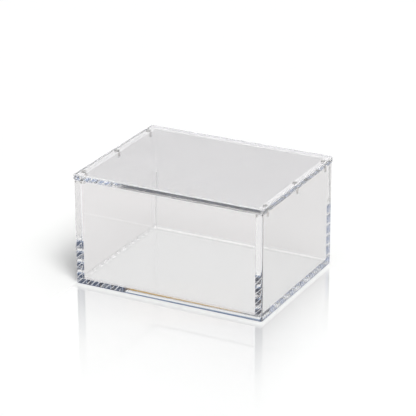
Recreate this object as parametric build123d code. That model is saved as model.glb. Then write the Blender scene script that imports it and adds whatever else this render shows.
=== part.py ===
from build123d import *
import os

# Clear acrylic storage box. A floor panel carries four upright walls, all cemented, and the flat lid
# is located by round pegs that drop into sockets drilled down the top edges of the two side walls.
# Millimetres, +Z up. The origin is the centre of the footprint, on the surface that the box stands on.
# +X is to the right along the long side, and the front wall faces -Y.

# Driving dimensions of the case.
case_width = 171.0
case_depth = 133.0
wall_height = 86.5
floor_thickness = 5.0
end_thickness = 5.0  # front and back walls
side_thickness = 6.0  # left and right walls, thick enough to hold the peg sockets
cement_film = 0.05  # solvent cement between two panels
corner_radius = 1.6  # upright outer corners, rounded over and polished
floor_arris = 0.4  # polished bevel round the underside of the floor
wall_arris = 0.25  # polished bevel along the outer rim of the walls
seam_bevel = 0.15  # on both panels of an outer seam, which leaves a fine groove along the joint

# Driving dimensions of the lid and its pegs.
lid_thickness = 5.0
lid_overhang = 0.5  # past the case on every side
lid_arris = 0.7  # polished bevel round the top and the underside of the lid
seat_gap = 0.1  # between the lid's underside and the rim
pegs_per_side = 3
peg_diameter = 4.0
peg_end_inset = 11.5  # from the case's front or back face to the nearest peg's centre
peg_grip = 2.5  # length of a peg inside the lid
peg_reach = 4.5  # length of a peg below the rim
peg_nose = 0.6  # lead-in bevel on the end that enters the socket
peg_crown_break = 0.2
peg_bore_clearance = 0.02  # on the radius in the lid, filled by cement
bore_spare = 0.1  # above a peg in its blind bore in the lid, filled by cement
socket_clearance = 0.1  # on the radius in the wall, so that the lid lifts off by hand
socket_spare = 0.5  # room under a seated peg
mouth_bevel = 0.35  # countersink round each socket and each bore

# Places that follow from the sizes.
wall_foot_z = floor_thickness + cement_film
rim_z = wall_foot_z + wall_height
lid_foot_z = rim_z + seat_gap
side_centre_x = (case_width - side_thickness) / 2
end_centre_y = (case_depth - end_thickness) / 2
end_length = case_width - 2 * (side_thickness + cement_film)
first_peg_y = case_depth / 2 - peg_end_inset
peg_radius = peg_diameter / 2
inner_face_share = 1 / 4  # of the side wall's thickness, tells its inner edges from its outer ones


def peg_rows():
    """Names and y places of the pegs along one side, from front to back."""
    if pegs_per_side == 1:
        return [("middle", 0)]
    step = 2 * first_peg_y / (pegs_per_side - 1)
    names = ["front"] + [f"middle_{i}" for i in range(1, pegs_per_side - 1)] + ["back"]
    if pegs_per_side == 3:
        names[1] = "middle"
    return [(name, i * step - first_peg_y) for i, name in enumerate(names)]


def level_rim(sheet, which):
    """Outer edges of a sheet's top (-1) or bottom (0) face."""
    return sheet.faces().filter_by(Axis.Z).sort_by(Axis.Z)[which].outer_wire().edges()


def peg_hole(radius, depth):
    """Cutter for a blind hole that opens downwards at z = 0, with its countersunk mouth."""
    shaft = Cylinder(radius, depth, align=(Align.CENTER, Align.CENTER, Align.MIN))
    mouth = Cone(radius + mouth_bevel, radius, mouth_bevel, align=(Align.CENTER, Align.CENTER, Align.MIN))
    return shaft + mouth


def rounded_sheet(width, depth, thickness):
    return extrude(RectangleRounded(width, depth, corner_radius), thickness)


def make_floor():
    """The floor runs under all four walls."""
    sheet = rounded_sheet(case_width, case_depth, floor_thickness)
    sheet = chamfer(level_rim(sheet, 0), floor_arris)
    return chamfer(level_rim(sheet, -1), seam_bevel)


def make_side_wall(sign):
    """Right (1) or left (-1) wall. It runs the full depth and holds the sockets in its top edge."""
    outline = Rectangle(side_thickness, case_depth)
    outer_corners = [v for v in outline.vertices() if v.X * sign > 0]
    wall = extrude(fillet(outer_corners, corner_radius), wall_height)
    inner_limit = side_thickness * inner_face_share
    outer_rim = [e for e in level_rim(wall, -1) if e.center().X * sign > -inner_limit]
    wall = chamfer(outer_rim, wall_arris)
    outer_foot = [e for e in level_rim(wall, 0) if e.center().X * sign > -inner_limit]
    wall = chamfer(outer_foot, seam_bevel)
    end_seams = [e for e in wall.edges().filter_by(Axis.Z) if e.center().X * sign < -inner_limit]
    wall = chamfer(end_seams, seam_bevel)
    socket = peg_hole(peg_radius + socket_clearance, peg_reach + socket_spare).mirror(Plane.XY)
    for _, y in peg_rows():
        wall -= Pos(0, y, wall_height) * socket
    return Pos(sign * side_centre_x, 0, wall_foot_z) * wall


def make_end_wall(sign):
    """Back (1) or front (-1) wall, fitted between the side walls and flush with their ends."""
    wall = extrude(Rectangle(end_length, end_thickness), wall_height)
    outer_limit = end_thickness / 2 - wall_arris
    outer_rim = [e for e in level_rim(wall, -1) if e.center().Y * sign > outer_limit]
    wall = chamfer(outer_rim, wall_arris)
    outer_foot = [e for e in level_rim(wall, 0) if e.center().Y * sign > outer_limit]
    end_seams = [e for e in wall.edges().filter_by(Axis.Z) if e.center().Y * sign > outer_limit]
    return Pos(0, sign * end_centre_y, wall_foot_z) * chamfer(outer_foot + end_seams, seam_bevel)


def make_lid():
    """The lid overhangs the case a little all round, with blind bores for the pegs in its underside."""
    overhang = 2 * lid_overhang
    lid = rounded_sheet(case_width + overhang, case_depth + overhang, lid_thickness)
    lid = chamfer(level_rim(lid, -1) + level_rim(lid, 0), lid_arris)
    bore = peg_hole(peg_radius + peg_bore_clearance, peg_grip + bore_spare)
    for side in (-1, 1):
        for _, y in peg_rows():
            lid -= Pos(side * side_centre_x, y, 0) * bore
    return Pos(0, 0, lid_foot_z) * lid


def make_peg():
    """A round peg that stands on z = 0 with its lead-in nose down."""
    length = peg_reach + seat_gap + peg_grip
    peg = Cylinder(peg_radius, length, align=(Align.CENTER, Align.CENTER, Align.MIN))
    peg = chamfer(peg.edges().group_by(Axis.Z)[0], peg_nose)
    return chamfer(peg.edges().group_by(Axis.Z)[-1], peg_crown_break)


def make_pieces():
    """Every separate piece of the box, under its name."""
    pieces = {
        "floor_panel": make_floor(),
        "left_wall": make_side_wall(-1),
        "right_wall": make_side_wall(1),
        "front_wall": make_end_wall(-1),
        "back_wall": make_end_wall(1),
        "lid_panel": make_lid(),
    }
    for side, sign in (("left", -1), ("right", 1)):
        for row, y in peg_rows():
            pieces[f"peg_{row}_{side}"] = Pos(sign * side_centre_x, y, rim_z - peg_reach) * make_peg()
    return pieces


os.makedirs("parts", exist_ok=True)
for node, piece in make_pieces().items():
    solids = piece.solids()
    assert len(solids) == 1, node
    export_step(solids[0], f"parts/{node}.step")
    print(node, round(solids[0].volume, 1), "mm3")
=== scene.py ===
import math
import bpy
from mathutils import Matrix, Vector


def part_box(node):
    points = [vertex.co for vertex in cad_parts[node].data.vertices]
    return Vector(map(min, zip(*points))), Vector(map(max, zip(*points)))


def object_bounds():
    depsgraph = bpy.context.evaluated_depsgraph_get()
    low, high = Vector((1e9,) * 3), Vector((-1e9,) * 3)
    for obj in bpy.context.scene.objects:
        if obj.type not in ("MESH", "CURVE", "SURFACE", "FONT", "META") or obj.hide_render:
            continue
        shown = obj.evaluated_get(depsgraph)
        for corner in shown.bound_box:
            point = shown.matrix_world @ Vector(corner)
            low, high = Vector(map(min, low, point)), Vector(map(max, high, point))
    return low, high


# Clear acrylic storage box on a glossy white table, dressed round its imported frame.
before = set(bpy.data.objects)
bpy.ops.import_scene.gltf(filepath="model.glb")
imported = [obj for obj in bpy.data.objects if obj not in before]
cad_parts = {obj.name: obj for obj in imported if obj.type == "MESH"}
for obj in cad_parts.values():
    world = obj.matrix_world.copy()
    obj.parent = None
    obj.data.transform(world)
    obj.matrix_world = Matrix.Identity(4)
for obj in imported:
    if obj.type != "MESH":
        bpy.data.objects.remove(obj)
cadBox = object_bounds()
mm = 0.001
big = 1.0  # reaches past the box on every side
print("frame loaded:", len(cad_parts), "nodes")


def linearColour(hexText, alpha=1.0):
    values = [int(hexText[i:i + 2], 16) / 255 for i in (1, 3, 5)]
    linear = [v / 12.92 if v <= 0.04045 else ((v + 0.055) / 1.055) ** 2.4 for v in values]
    return (*linear, alpha)


def addNode(tree, kind, settings=None, links=None):
    # one node with its settings, and its inputs as sockets to link or as plain values
    node = tree.nodes.new(kind)
    for key, value in (settings or {}).items():
        setattr(node, key, value)
    for key, value in (links or {}).items():
        if isinstance(value, bpy.types.NodeSocket):
            tree.links.new(value, node.inputs[key])
        else:
            node.inputs[key].default_value = value
    return node


# Places of the panels, from the frame.
floorLow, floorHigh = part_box("floor_panel")
leftLow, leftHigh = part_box("left_wall")
rightLow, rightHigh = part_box("right_wall")
frontLow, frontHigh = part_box("front_wall")
backLow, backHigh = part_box("back_wall")
lidLow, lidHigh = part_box("lid_panel")

# Cement joints: solvent cement drawn into the seams. Where it has wetted both panels the seam is clear,
# small bubbles in it glint, and the fillet that it leaves in the inside corners is slightly milky.
cement = {
    "margin": 0.03 * mm,
    "belowRim": 0.3 * mm,  # cement stops this far below the rim
    "bubbleSize": 1.8 * mm,
    "bubbleShare": 0.7,  # noise level above which there is a bubble
    "fillet": 3.0 * mm,  # on the floor along the back wall
    "cornerFillet": 1.5 * mm,  # up the back left corner
    "cornerTop": 52 * mm,  # the corner's fillet ran only this far up
    "leftFillet": 2.25 * mm,  # along the left wall, broken into dashes
    "dashSize": 8 * mm,
    "dashUneven": 1.5,
    "dashShare": 0.6,
    "dashFull": 0.35,  # a dash starts to fade here and is gone there, as parts of a step
    "dashGone": 0.65,
    "dashStart": 12 * mm,
    "dashEnd": 35 * mm,
    "dashRise": 1.8 * mm,
}


def seamBoxes():
    # thin boxes round the seams that have taken up cement
    m = cement["margin"]
    top = frontHigh.z - cement["belowRim"]
    return [
        ((-big, -big, floorHigh.z - m), (leftHigh.x + m, big, leftLow.z + m)),
        ((rightLow.x - m, -big, floorHigh.z - m), (big, big, rightLow.z + m)),
        ((-big, backLow.y - m, floorHigh.z - m), (big, big, backLow.z + m)),
        ((leftHigh.x - m, -big, leftLow.z - m), (frontLow.x + m, frontHigh.y + m, top)),
        ((leftHigh.x - m, backLow.y - m, leftLow.z - m), (backLow.x + m, big, top)),
        ((backHigh.x - m, backLow.y - m, leftLow.z - m), (rightLow.x + m, big, top)),
    ]


def filletBoxes():
    # milky fillets: on the floor along the back wall, and up the back left corner
    m = cement["margin"]
    top = floorHigh.z
    return [
        ((leftHigh.x, backLow.y - cement["fillet"], top - m), (rightLow.x, backLow.y, top + m)),
        ((leftHigh.x - m, backLow.y - m, leftLow.z),
         (leftHigh.x + cement["cornerFillet"], backLow.y + m, cement["cornerTop"])),
    ]


def dashedFilletBoxes():
    # the broken fillet along the left wall, on the floor and on the foot of the wall
    m = cement["margin"]
    top = floorHigh.z
    return [
        ((leftHigh.x, frontHigh.y, top - m), (leftHigh.x + cement["leftFillet"], backLow.y, top + m)),
        ((leftHigh.x - m, frontHigh.y + cement["dashStart"], leftLow.z),
         (leftHigh.x + m, cement["dashEnd"], leftLow.z + cement["dashRise"])),
    ]


def boxMask(tree, boxes):
    # 1 inside any of the boxes, in the piece's own coordinates
    where = addNode(tree, "ShaderNodeTexCoord").outputs["Object"]
    total = None
    for low, high in boxes:
        centre = [(a + b) / 2 for a, b in zip(low, high)]
        half = [abs(b - a) / 2 for a, b in zip(low, high)]
        away = addNode(tree, "ShaderNodeVectorMath", {"operation": "SUBTRACT"}, {0: where, 1: centre})
        size = addNode(tree, "ShaderNodeVectorMath", {"operation": "ABSOLUTE"}, {0: away.outputs[0]})
        over = addNode(tree, "ShaderNodeVectorMath", {"operation": "SUBTRACT"}, {
            0: size.outputs[0], 1: half})
        axes = addNode(tree, "ShaderNodeSeparateXYZ", None, {0: over.outputs[0]})
        flat = addNode(tree, "ShaderNodeMath", {"operation": "MAXIMUM"}, {
            0: axes.outputs[0], 1: axes.outputs[1]})
        worst = addNode(tree, "ShaderNodeMath", {"operation": "MAXIMUM"}, {
            0: flat.outputs[0], 1: axes.outputs[2]})
        inside = addNode(tree, "ShaderNodeMath", {"operation": "LESS_THAN"}, {0: worst.outputs[0], 1: 0.0})
        if total is None:
            total = inside
        else:
            total = addNode(tree, "ShaderNodeMath", {"operation": "MAXIMUM"}, {
                0: inside.outputs[0], 1: total.outputs[0]})
    return total.outputs[0]


def seamMask(tree):
    # the seams without their bubbles
    where = addNode(tree, "ShaderNodeTexCoord").outputs["Object"]
    noise = addNode(tree, "ShaderNodeTexNoise", None, {
        "Vector": where, "Scale": 1 / cement["bubbleSize"], "Detail": 1.0})
    wetted = addNode(tree, "ShaderNodeMath", {"operation": "LESS_THAN"}, {
        0: noise.outputs[0], 1: cement["bubbleShare"]})
    clear = addNode(tree, "ShaderNodeMath", {"operation": "MULTIPLY"}, {
        0: boxMask(tree, seamBoxes()), 1: wetted.outputs[0]})
    return clear.outputs[0]


def dashMask(tree):
    # the broken fillet, in uneven steps along the seam
    where = addNode(tree, "ShaderNodeTexCoord").outputs["Object"]
    axes = addNode(tree, "ShaderNodeSeparateXYZ", None, {0: where})
    noise = addNode(tree, "ShaderNodeTexNoise", None, {
        "Vector": where, "Scale": 1 / cement["dashSize"], "Detail": 1.0})
    even = addNode(tree, "ShaderNodeMath", {"operation": "DIVIDE"}, {
        0: axes.outputs["Y"], 1: cement["dashSize"]})
    steps = addNode(tree, "ShaderNodeMath", {"operation": "MULTIPLY_ADD"}, {
        0: noise.outputs[0], 1: cement["dashUneven"], 2: even.outputs[0]})
    part = addNode(tree, "ShaderNodeMath", {"operation": "FRACT"}, {0: steps.outputs[0]})
    dash = addNode(tree, "ShaderNodeMapRange", {"interpolation_type": "SMOOTHSTEP"}, {
        "Value": part.outputs[0], "From Min": cement["dashFull"], "From Max": cement["dashGone"],
        "To Min": cement["dashShare"], "To Max": 0.0})
    mask = addNode(tree, "ShaderNodeMath", {"operation": "MULTIPLY"}, {
        0: boxMask(tree, dashedFilletBoxes()), 1: dash.outputs[0]})
    return mask.outputs[0]


# Clear acrylic: cast PMMA sheet, sawn to size and machine polished. Face on it almost disappears, and its
# edges carry sharp dark and white bars by total reflection. Cast sheet is never quite flat. Some of its edges
# show slanting saw marks, partly real and partly painted highlights: they are drawn as milky white lines.
sheet = {
    "ior": 1.49,
    "roughness": 0.0,
    "wavePitch": 45 * mm,
    "waveHeight": 0.006 * mm,
    "polishPitch": 1.4 * mm,  # polishing marks are finer, drawn this coarse so that they show
    "polishHeight": 0.0003 * mm,
    "sawPitch": 4.4 * mm,  # along the edge, finer on the real one and drawn this coarse so that it shows
    "sawUneven": 2.6,
    "sawFaint": 0.8,  # height of the wave at which a line starts, and at which it is full
    "sawFull": 0.95,
    "sawShare": 0.62,
    "sawTop": 41 * mm,  # above this the side walls' front edges have no saw marks
    "sawRun": 42 * mm,  # and past this the front edges of the floor and the lid have none
    "footTall": 0.8 * mm,  # foot of the floor's edge, with its bevel
    "footDeep": 0.45 * mm,
    "arris": 0.7 * mm,  # the lid's bevel
    "edgeDeep": 0.3 * mm,
    "faceDeep": 0.02 * mm,
}

# Satin acrylic: sawn and sanded top edges of the walls, and milky cement. It scatters light and looks white.
satin = {
    "roughness": 0.45,
    "transmission": 0.12,
    "arrisTransmission": 0.5,  # the lid's bevel is only lightly frosted
}
allSides = ("front", "back", "left", "right")


def edgeBoxes(low, high, sides, wide, foot=-big, top=big):
    # thin boxes along the cut edges of a sheet, at the sides that are named
    places = {
        "front": ((-big, -big, foot), (big, low.y + wide, top)),
        "back": ((-big, high.y - wide, foot), (big, big, top)),
        "left": ((-big, -big, foot), (low.x + wide, big, top)),
        "right": ((high.x - wide, -big, foot), (big, big, top)),
    }
    return [places[side] for side in sides]


def sawnRun(low, foot, top):
    # the left part of a sheet's front edge
    return [((-big, -big, foot), (low.x + sheet["sawRun"], low.y + sheet["edgeDeep"], top))]


def faceBoxes(height):
    # a thin box at the height of a level face
    return [((-big, -big, height - sheet["faceDeep"]), (big, big, height + sheet["faceDeep"]))]


def sheetNormal(tree):
    # slow waves of the cast sheet, and the fine marks of polishing
    where = addNode(tree, "ShaderNodeTexCoord").outputs["Object"]
    waves = addNode(tree, "ShaderNodeTexNoise", None, {
        "Vector": where, "Scale": 1 / sheet["wavePitch"], "Detail": 1.0, "Roughness": 0.4})
    bent = addNode(tree, "ShaderNodeBump", None, {
        "Strength": 1.0, "Distance": sheet["waveHeight"], "Height": waves.outputs[0]})
    marks = addNode(tree, "ShaderNodeTexWave", {"bands_direction": "DIAGONAL"}, {
        "Vector": where, "Scale": 0.5 / sheet["polishPitch"], "Distortion": 3.0, "Detail": 2.0})
    edges = addNode(tree, "ShaderNodeBump", None, {
        "Strength": 1.0, "Distance": sheet["polishHeight"], "Height": marks.outputs[1],
        "Normal": bent.outputs[0]})
    return edges.outputs[0]


def sawMarkHighlightMask(tree, piece):
    # the slanting lines that the saw leaves on a cut edge, painted milky white as highlights
    where = addNode(tree, "ShaderNodeTexCoord").outputs["Object"]
    slanted = addNode(tree, "ShaderNodeVectorMath", {"operation": "MULTIPLY"}, {0: where, 1: (1, 1, -1)})
    marks = addNode(tree, "ShaderNodeTexWave", {"bands_direction": "DIAGONAL"}, {
        "Vector": slanted.outputs[0], "Scale": math.pi / 5 / sheet["sawPitch"],
        "Distortion": sheet["sawUneven"], "Detail": 1.0, "Detail Scale": 0.6})
    line = addNode(tree, "ShaderNodeMapRange", {"interpolation_type": "SMOOTHSTEP"}, {
        "Value": marks.outputs[1], "From Min": sheet["sawFaint"], "From Max": sheet["sawFull"],
        "To Min": 0.0, "To Max": sheet["sawShare"]})
    mask = addNode(tree, "ShaderNodeMath", {"operation": "MULTIPLY"}, {
        0: boxMask(tree, piece["sawnHighlightBoxes"]), 1: line.outputs[0]})
    return mask.outputs[0]


def hazeMask(tree, piece):
    # wiping marks and fine dust on the top face, and painted light: the white diffuse layer lightens the
    # whole face
    where = addNode(tree, "ShaderNodeTexCoord").outputs["Object"]
    cloud = addNode(tree, "ShaderNodeTexNoise", None, {
        "Vector": where, "Scale": 1 / piece["hazePitch"], "Detail": 5.0, "Roughness": 0.7})
    share = addNode(tree, "ShaderNodeMapRange", None, {
        "Value": cloud.outputs[0], "From Min": 0.25, "From Max": 0.75,
        "To Min": piece["hazeLeast"], "To Max": piece["hazeMost"]})
    mask = addNode(tree, "ShaderNodeMath", {"operation": "MULTIPLY"}, {
        0: share.outputs[0], 1: boxMask(tree, piece["hazeBoxes"])})
    return mask.outputs[0]


def makeAcrylic(name, piece):
    material = bpy.data.materials.new(name)
    material.use_nodes = True
    tree = material.node_tree
    tree.nodes.clear()
    # the base colour is the sheet's tint; on the walls and the floor it also carries painted shade
    surface = addNode(tree, "ShaderNodeBsdfPrincipled", None, {
        "Base Color": linearColour(piece["tintAndPaintedShade"]),
        "Roughness": sheet["roughness"],
        "IOR": sheet["ior"],
        "Transmission Weight": 1.0,
        "Normal": sheetNormal(tree),
    })
    milky = addNode(tree, "ShaderNodeBsdfPrincipled", None, {
        "Base Color": (1, 1, 1, 1),
        "Roughness": satin["roughness"],
        "IOR": sheet["ior"],
        "Transmission Weight": satin["transmission"],
    })
    through = addNode(tree, "ShaderNodeBsdfTransparent", None, {"Color": (1, 1, 1, 1)})
    # each layer lies over the ones before it, where its mask is 1
    layers = []
    if "hazeBoxes" in piece:
        # dust, and painted light: white diffuse over the whole top face
        dustAndPaintedLight = addNode(tree, "ShaderNodeBsdfDiffuse", None, {"Color": (1, 1, 1, 1)})
        layers.append((hazeMask(tree, piece), dustAndPaintedLight))
    if "sawnHighlightBoxes" in piece:
        # painted highlights: milky saw-mark lines on the cut edges
        layers.append((sawMarkHighlightMask(tree, piece), milky))
    if "greyEdgeShadeBoxes" in piece:
        # painted shade: a grey diffuse layer that darkens a cut edge
        greyEdgeShade = addNode(tree, "ShaderNodeBsdfDiffuse", None, {"Color": linearColour(piece["edgePaintedShade"])})
        mask = addNode(tree, "ShaderNodeMath", {"operation": "MULTIPLY"}, {
            0: boxMask(tree, piece["greyEdgeShadeBoxes"]), 1: piece["edgePaintedShadeShare"]})
        layers.append((mask.outputs[0], greyEdgeShade))
    if "satinBoxes" in piece:
        layers.append((boxMask(tree, piece["satinBoxes"]), milky))
    if "arrisBoxes" in piece:
        frosted = addNode(tree, "ShaderNodeBsdfPrincipled", None, {
            "Base Color": (1, 1, 1, 1),
            "Roughness": satin["roughness"],
            "IOR": sheet["ior"],
            "Transmission Weight": satin["arrisTransmission"],
        })
        layers.append((boxMask(tree, piece["arrisBoxes"]), frosted))
    if "dashes" in piece:
        layers.append((dashMask(tree), milky))
    # painted reflection: dark blue tinted glass along the foot of the floor's edge
    if "footReflectionBoxes" in piece:
        foot = addNode(tree, "ShaderNodeBsdfPrincipled", None, {
            "Base Color": linearColour(piece["footPaintedReflection"]),
            "Roughness": piece["footRoughness"],
            "IOR": sheet["ior"],
            "Transmission Weight": 1.0,
        })
        layers.append((boxMask(tree, piece["footReflectionBoxes"]), foot))
    rays = addNode(tree, "ShaderNodeLightPath")
    shade = addNode(tree, "ShaderNodeBsdfTransparent", None, {"Color": linearColour(piece["shade"])})
    layers.append((rays.outputs["Is Shadow Ray"], shade))
    if "clearBoxes" in piece:
        # painted shade: a grey diffuse disc at each peg's sawn end
        sawnEndShade = addNode(tree, "ShaderNodeBsdfDiffuse", None, {"Color": linearColour(piece["sawnEndPaintedShade"])})
        half = addNode(tree, "ShaderNodeMixShader", None, {
            0: piece["sawnEndShadeShare"], 1: through.outputs[0], 2: sawnEndShade.outputs[0]})
        layers.append((boxMask(tree, piece["clearBoxes"]), through))
        layers.append((boxMask(tree, piece["endBoxes"]), half))
    else:
        layers.append((seamMask(tree), through))
    for mask, layer in layers:
        surface = addNode(tree, "ShaderNodeMixShader", None, {
            0: mask, 1: surface.outputs[0], 2: layer.outputs[0]})
    addNode(tree, "ShaderNodeOutputMaterial", None, {"Surface": surface.outputs[0]})
    return material


# shade is what lamp light keeps at each face of a panel. The lamps are at the front right, so only the
# left and back walls, which the light leaves by, darken the table.
# The tints differ from panel to panel as painted shade: the right, back and left walls are darker than the
# front wall and the floor.
floorPanel = {
    "tintAndPaintedShade": "#F2F3F3",
    "shade": "#FFFFFF",
    "satinBoxes": filletBoxes(),
    "dashes": True,
    "sawnHighlightBoxes": sawnRun(floorLow, sheet["footTall"], big) + edgeBoxes(
        floorLow, floorHigh, ("right",), sheet["edgeDeep"], sheet["footTall"]),
    "footReflectionBoxes": edgeBoxes(
        floorLow, floorHigh, allSides, sheet["footDeep"], -sheet["footDeep"], sheet["footTall"]),
    "footPaintedReflection": "#41567E",  # painted reflection: a dark blue tint for the dark blue side of the room
    "footRoughness": 0.1,
}
rimBoxes = faceBoxes(leftHigh.z)
frontWall = {
    "tintAndPaintedShade": "#F4F3F3",
    "shade": "#FFFFFF",
    "satinBoxes": rimBoxes,
}
rightWall = {
    "tintAndPaintedShade": "#EAE9E9",
    "shade": "#FFFFFF",
    "satinBoxes": rimBoxes,
    "sawnHighlightBoxes": edgeBoxes(rightLow, rightHigh, ("front",), sheet["edgeDeep"], -big, sheet["sawTop"]),
}
leftWall = {
    "tintAndPaintedShade": "#F0EFEF",
    "shade": "#9C9C9C",
    "satinBoxes": rimBoxes + filletBoxes(),
    "dashes": True,
    "sawnHighlightBoxes": edgeBoxes(leftLow, leftHigh, ("front",), sheet["edgeDeep"], -big, sheet["sawTop"]),
    # painted shade: the left wall's front edge above the saw marks is greyed
    "greyEdgeShadeBoxes": edgeBoxes(leftLow, leftHigh, ("front",), sheet["edgeDeep"], sheet["sawTop"]),
    "edgePaintedShade": "#B4B1AE",
    "edgePaintedShadeShare": 0.22,
}
backWall = {
    "tintAndPaintedShade": "#EEEDED",
    "shade": "#9C9C9C",
    "satinBoxes": rimBoxes + filletBoxes(),
}

# Clear acrylic rod: extruded, cut off and cemented into the lid. Cement makes its side in the bore disappear,
# and its sawn end shows through the lid as a disc, whose grey is painted shade.
rod = {
    "margin": 0.08 * mm,
    "mouth": 0.4 * mm,  # countersunk mouth of a bore, which stays open
}


def pegBoxes(fromEnd):
    # the part of each peg that is cemented into the lid, or only its upper end
    m = rod["margin"]
    boxes = []
    for row in ("front", "middle", "back"):
        for side in ("left", "right"):
            low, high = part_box(f"peg_{row}_{side}")
            foot = high.z - m if fromEnd else lidLow.z + rod["mouth"]
            boxes.append(((low.x - m, low.y - m, foot), (high.x + m, high.y + m, high.z + 2 * m)))
    return boxes


cementedRod = {
    "clearBoxes": pegBoxes(False),
    "endBoxes": pegBoxes(True),
    "sawnEndPaintedShade": "#94948E",
    "sawnEndShadeShare": 0.42,
}
pegs = {
    "tintAndPaintedShade": "#DCD9D4",
    "shade": "#FFFFFF",
    **cementedRod,
}
lidPanel = {
    "tintAndPaintedShade": "#FEFDFD",
    "shade": "#FFFFFF",
    # even the least haze lightens the whole top face: painted light
    "hazeLeast": 0.072,
    "hazeMost": 0.168,
    "hazePitch": 30 * mm,
    "hazeBoxes": faceBoxes(lidHigh.z),
    "arrisBoxes": edgeBoxes(
        lidLow, lidHigh, allSides, sheet["arris"], lidHigh.z - sheet["arris"], lidHigh.z),
    "sawnHighlightBoxes": sawnRun(lidLow, lidLow.z, lidHigh.z),
    **cementedRod,
}

finishes = {
    "floor_panel": makeAcrylic("castAcrylicFloor", floorPanel),
    "front_wall": makeAcrylic("castAcrylicFrontWall", frontWall),
    "right_wall": makeAcrylic("castAcrylicRightWall", rightWall),
    "left_wall": makeAcrylic("castAcrylicLeftWall", leftWall),
    "back_wall": makeAcrylic("castAcrylicBackWall", backWall),
    "lid_panel": makeAcrylic("castAcrylicLid", lidPanel),
}
pegFinish = makeAcrylic("acrylicRodPegs", pegs)
for name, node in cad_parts.items():
    node.material_slots[0].material = finishes.get(name, pegFinish)
print("acrylic on", len(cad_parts), "pieces")

# Glossy white table: lacquered board. It mirrors the foot of the box and fades to plain white.
table = {
    "half": 8.0,
    "drop": 0.05 * mm,
    "colour": "#EEEEEC",
    "paintedContactShade": "#E3E3E1",  # painted shade right at the foot of the box
    "contactReach": 2 * mm,  # how far that shade goes in under the box
    "roughness": 0.02,
    "mirror": 0.5,
    "mirrorStart": 4 * mm,  # painted contact shade hides the mirrored foot
    "mirrorFull": 12 * mm,
    "mirrorReach": 200 * mm,
    "fadePower": 2.0,
    "sideFade": 2.5,  # the mirror fades faster to the right of the box than in front of it
    "leftFade": 1 * mm,
    "backFade": 30 * mm,
    "underGlass": "#606060",  # the table as the acrylic shows it: even and matt
    "glow": 0.87,
}


def tableMasks(tree):
    # The mirror is strongest along the front and right foot of the box and fades away from it, with none in
    # the shadow. Right at the foot there is painted contact shade instead.
    where = addNode(tree, "ShaderNodeTexCoord").outputs["Object"]
    axes = addNode(tree, "ShaderNodeSeparateXYZ", None, {0: where})
    toRight = addNode(tree, "ShaderNodeMath", {"operation": "SUBTRACT"}, {
        0: axes.outputs["X"], 1: floorHigh.x})
    beside = addNode(tree, "ShaderNodeMath", {"operation": "MULTIPLY"}, {
        0: toRight.outputs[0], 1: table["sideFade"]})
    before = addNode(tree, "ShaderNodeMath", {"operation": "SUBTRACT"}, {
        0: floorLow.y, 1: axes.outputs["Y"]})
    away = addNode(tree, "ShaderNodeMath", {"operation": "MAXIMUM"}, {
        0: beside.outputs[0], 1: before.outputs[0]})
    reach = addNode(tree, "ShaderNodeMapRange", None, {
        "Value": away.outputs[0], "From Min": 0.0, "From Max": table["mirrorReach"],
        "To Min": 1.0, "To Max": 0.0})
    fade = addNode(tree, "ShaderNodeMath", {"operation": "POWER"}, {
        0: reach.outputs[0], 1: table["fadePower"]})
    start = addNode(tree, "ShaderNodeMapRange", None, {
        "Value": away.outputs[0], "From Min": table["mirrorStart"], "From Max": table["mirrorFull"]})
    leftEnd = addNode(tree, "ShaderNodeMapRange", None, {
        "Value": axes.outputs["X"],
        "From Min": floorLow.x - table["leftFade"], "From Max": floorLow.x + table["leftFade"]})
    backEnd = addNode(tree, "ShaderNodeMapRange", None, {
        "Value": axes.outputs["Y"],
        "From Min": floorHigh.y - table["backFade"], "From Max": floorHigh.y,
        "To Min": 1.0, "To Max": 0.0})
    place = addNode(tree, "ShaderNodeMath", {"operation": "MULTIPLY"}, {
        0: leftEnd.outputs[0], 1: backEnd.outputs[0]})
    mirror = addNode(tree, "ShaderNodeMath", {"operation": "MULTIPLY"}, {
        0: place.outputs[0], 1: table["mirror"]})
    for factor in (start, fade):
        mirror = addNode(tree, "ShaderNodeMath", {"operation": "MULTIPLY"}, {
            0: mirror.outputs[0], 1: factor.outputs[0]})
    near = addNode(tree, "ShaderNodeMath", {"operation": "SUBTRACT"}, {0: 1.0, 1: start.outputs[0]})
    outside = addNode(tree, "ShaderNodeMath", {"operation": "GREATER_THAN"}, {
        0: away.outputs[0], 1: -table["contactReach"]})
    paintedContactShade = place
    for factor in (near, outside):
        paintedContactShade = addNode(tree, "ShaderNodeMath", {"operation": "MULTIPLY"}, {
            0: paintedContactShade.outputs[0], 1: factor.outputs[0]})
    return mirror.outputs[0], paintedContactShade.outputs[0]


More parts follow.
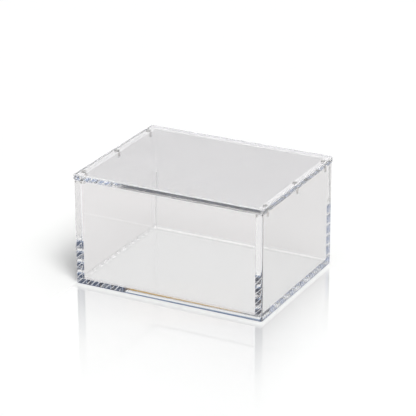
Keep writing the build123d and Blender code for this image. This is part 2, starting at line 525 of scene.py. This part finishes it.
def makeTable():
    h = table["half"]
    z = -table["drop"]
    mesh = bpy.data.meshes.new("table")
    mesh.from_pydata([(-h, -h, z), (h, -h, z), (h, h, z), (-h, h, z)], [], [(0, 1, 2, 3)])
    plane = bpy.data.objects.new("table", mesh)
    bpy.context.scene.collection.objects.link(plane)
    material = bpy.data.materials.new("lacqueredTable")
    material.use_nodes = True
    tree = material.node_tree
    tree.nodes.clear()
    mirror, paintedContactShade = tableMasks(tree)
    paint = addNode(tree, "ShaderNodeMixRGB", None, {
        0: paintedContactShade, 1: linearColour(table["colour"]), 2: linearColour(table["paintedContactShade"])})
    body = addNode(tree, "ShaderNodeBsdfDiffuse", None, {"Color": paint.outputs[0]})
    gloss = addNode(tree, "ShaderNodeBsdfGlossy", None, {
        "Color": (1, 1, 1, 1), "Roughness": table["roughness"]})
    board = addNode(tree, "ShaderNodeMixShader", None, {
        0: mirror, 1: body.outputs[0], 2: gloss.outputs[0]})
    matt = addNode(tree, "ShaderNodeBsdfDiffuse", None, {"Color": linearColour(table["underGlass"])})
    light = addNode(tree, "ShaderNodeEmission", None, {"Color": (1, 1, 1, 1), "Strength": table["glow"]})
    under = addNode(tree, "ShaderNodeAddShader", None, {0: matt.outputs[0], 1: light.outputs[0]})
    rays = addNode(tree, "ShaderNodeLightPath")
    both = addNode(tree, "ShaderNodeMixShader", None, {
        0: rays.outputs["Is Transmission Ray"], 1: board.outputs[0], 2: under.outputs[0]})
    addNode(tree, "ShaderNodeOutputMaterial", None, {"Surface": both.outputs[0]})
    mesh.materials.append(material)


makeTable()
print("table ready")

# Studio: white overhead and at the horizon. A dark band behind the table is what the edges of the acrylic
# pick up, and on the camera's side it is a paler blue grey. Places are heights from 0 to 1.
studio = {
    "behind": [(0.0, "#FFFFFF"), (0.13, "#FFFFFF"), (0.2, "#3E4250"), (0.6, "#4A4E5C"), (0.78, "#FFFFFF")],
    "behindRight": [
        (0.0, "#FFFFFF"), (0.13, "#FFFFFF"), (0.2, "#A4B4D2"), (0.381, "#A4B4D2"), (0.39, "#414C64"),
        (0.6, "#515D78"), (0.78, "#FFFFFF"),
    ],
    "camera": [(0.0, "#FFFFFF"), (0.13, "#FFFFFF"), (0.2, "#8A98B8"), (0.6, "#98A4C0"), (0.78, "#FFFFFF")],
    "overhead": 0.38,  # share of the white that lights matt surfaces
    "warmPanel": "#C89C48",  # a small warm reflector behind, which the floor's front seam catches
    "warmTurn": -0.533,
    "warmWidth": 0.038,
    "warmHeight": 0.417,
    "warmTall": 0.009,
    "warmTurns": 7.5,  # light that has been reflected more often doesn't show it
    "mirroredWalls": 0.9,  # how far the walls of the mirrored box show white
    "mirroredPanes": 3.5,  # a wall has been seen through after more faces than this
}


def bandColour(tree, axes, behind):
    # the band round the studio: one ramp by height for each side
    toRight = addNode(tree, "ShaderNodeMath", {"operation": "GREATER_THAN"}, {
        0: axes.outputs["X"], 1: 0.0})
    ramps = {}
    for side in ("camera", "behind", "behindRight"):
        ramp = addNode(tree, "ShaderNodeValToRGB", None, {0: axes.outputs["Z"]})
        marks = ramp.color_ramp.elements
        while len(marks) < len(studio[side]):
            marks.new(1.0)
        for mark, (place, colour) in zip(marks, studio[side]):
            mark.position = place
            mark.color = linearColour(colour)
        ramps[side] = ramp.outputs[0]
    back = addNode(tree, "ShaderNodeMixRGB", None, {
        0: toRight.outputs[0], 1: ramps["behind"], 2: ramps["behindRight"]})
    band = addNode(tree, "ShaderNodeMixRGB", None, {
        0: behind.outputs[0], 1: ramps["camera"], 2: back.outputs[0]})
    return band.outputs[0]


def warmMask(tree, axes, behind, rays):
    # 1 on the small warm reflector
    turn = addNode(tree, "ShaderNodeMath", {"operation": "DIVIDE"}, {
        0: axes.outputs["X"], 1: axes.outputs["Y"]})
    across = addNode(tree, "ShaderNodeMath", {"operation": "COMPARE"}, {
        0: turn.outputs[0], 1: studio["warmTurn"], 2: studio["warmWidth"]})
    along = addNode(tree, "ShaderNodeMath", {"operation": "COMPARE"}, {
        0: axes.outputs["Z"], 1: studio["warmHeight"], 2: studio["warmTall"]})
    early = addNode(tree, "ShaderNodeMath", {"operation": "LESS_THAN"}, {
        0: rays.outputs["Glossy Depth"], 1: studio["warmTurns"]})
    panel = across
    for factor in (along, behind, early):
        panel = addNode(tree, "ShaderNodeMath", {"operation": "MULTIPLY"}, {
            0: panel.outputs[0], 1: factor.outputs[0]})
    return panel.outputs[0]


def mirroredMask(tree, rays):
    # the lacquer's soft mirror shows white surroundings, also through the walls of the mirrored box
    soft = addNode(tree, "ShaderNodeMath", {"operation": "SUBTRACT"}, {
        0: rays.outputs["Is Glossy Ray"], 1: rays.outputs["Is Singular Ray"]})
    mirrored = addNode(tree, "ShaderNodeMath", {"operation": "GREATER_THAN"}, {
        0: rays.outputs["Glossy Depth"], 1: 0.5})
    panes = addNode(tree, "ShaderNodeMath", {"operation": "GREATER_THAN"}, {
        0: rays.outputs["Transmission Depth"], 1: studio["mirroredPanes"]})
    both = addNode(tree, "ShaderNodeMath", {"operation": "MULTIPLY"}, {
        0: mirrored.outputs[0], 1: panes.outputs[0]})
    walls = addNode(tree, "ShaderNodeMath", {"operation": "MULTIPLY"}, {
        0: both.outputs[0], 1: studio["mirroredWalls"]})
    white = addNode(tree, "ShaderNodeMath", {"operation": "MAXIMUM"}, {
        0: soft.outputs[0], 1: walls.outputs[0]})
    return white.outputs[0]


def makeWorld():
    world = bpy.data.worlds.new("studio")
    bpy.context.scene.world = world
    world.use_nodes = True
    tree = world.node_tree
    tree.nodes.clear()
    where = addNode(tree, "ShaderNodeTexCoord")
    axes = addNode(tree, "ShaderNodeSeparateXYZ", None, {0: where.outputs["Generated"]})
    behind = addNode(tree, "ShaderNodeMath", {"operation": "GREATER_THAN"}, {0: axes.outputs["Y"], 1: 0.0})
    rays = addNode(tree, "ShaderNodeLightPath")
    warmed = addNode(tree, "ShaderNodeMixRGB", None, {
        0: warmMask(tree, axes, behind, rays), 1: bandColour(tree, axes, behind),
        2: linearColour(studio["warmPanel"])})
    colour = addNode(tree, "ShaderNodeMixRGB", None, {
        0: mirroredMask(tree, rays), 1: warmed.outputs[0], 2: (1, 1, 1, 1)})
    lit = addNode(tree, "ShaderNodeMapRange", None, {
        "Value": rays.outputs["Is Diffuse Ray"], "To Min": 1.0, "To Max": studio["overhead"]})
    sky = addNode(tree, "ShaderNodeBackground", None, {
        "Color": colour.outputs[0], "Strength": lit.outputs[0]})
    addNode(tree, "ShaderNodeOutputWorld", None, {"Surface": sky.outputs[0]})


makeWorld()

# Lamps: a tall strip softbox at the front right and a broad soft lamp overhead.
lamps = {
    "stripLow": {"from": (0.78, -0.63, 1.19), "spread": 20, "strength": 1.15},
    "stripHigh": {"from": (0.78, -0.63, 2.0), "spread": 22, "strength": 1.2},
    "topLight": {"from": (0.3, -0.1, 1.0), "spread": 70, "strength": 1.0},
}


def addLamps():
    for name, lamp in lamps.items():
        data = bpy.data.lights.new(name, "SUN")
        data.angle = math.radians(lamp["spread"])
        data.energy = lamp["strength"]
        item = bpy.data.objects.new(name, data)
        item.rotation_euler = Vector(lamp["from"]).to_track_quat("Z", "Y").to_euler()
        item.visible_glossy = False
        item.visible_transmission = False
        bpy.context.scene.collection.objects.link(item)


addLamps()
print("lights ready")

# Camera, fitted to the straight edges in the photo in widths of the lid.
lidWidth = 172 * mm
camera = {
    "azimuth": 27.31123,
    "elevation": 22.04814,
    "roll": -0.1604,
    "distance": 10.11995 * lidWidth,
    "right": 0.01686 * lidWidth,
    "up": 0.05484 * lidWidth,
    "lens": 181.208,
    "sensor": 36,
    "farthest": 60,
}


def makeCamera():
    turn = math.radians(camera["azimuth"])
    tilt = math.radians(camera["elevation"])
    roll = math.radians(camera["roll"])
    back = Vector((math.sin(turn) * math.cos(tilt), -math.cos(turn) * math.cos(tilt), math.sin(tilt)))
    right = Vector((0, 0, 1)).cross(back).normalized()
    up = back.cross(right)
    sideAxis = right * math.cos(roll) + up * math.sin(roll)
    upAxis = up * math.cos(roll) - right * math.sin(roll)
    centre = Vector((0, 0, cadBox[1][2] / 2))
    place = centre + back * camera["distance"] + sideAxis * camera["right"] + upAxis * camera["up"]
    data = bpy.data.cameras.new("photoCamera")
    data.lens = camera["lens"]
    data.sensor_width = camera["sensor"]
    data.clip_end = camera["farthest"]
    item = bpy.data.objects.new("photoCamera", data)
    item.matrix_world = Matrix.Translation(place) @ Matrix((sideAxis, upAxis, back)).transposed().to_4x4()
    bpy.context.scene.collection.objects.link(item)
    bpy.context.scene.camera = item


makeCamera()

# Light turns many times inside an edge, so its paths are long.
pathLengths = {
    "max_bounces": 48,
    "transmission_bounces": 48,
    "glossy_bounces": 32,
    "transparent_max_bounces": 48,
}
scene = bpy.context.scene
scene.view_settings.view_transform = "Standard"
for setting, turns in pathLengths.items():
    setattr(scene.cycles, setting, turns)
print("camera ready")
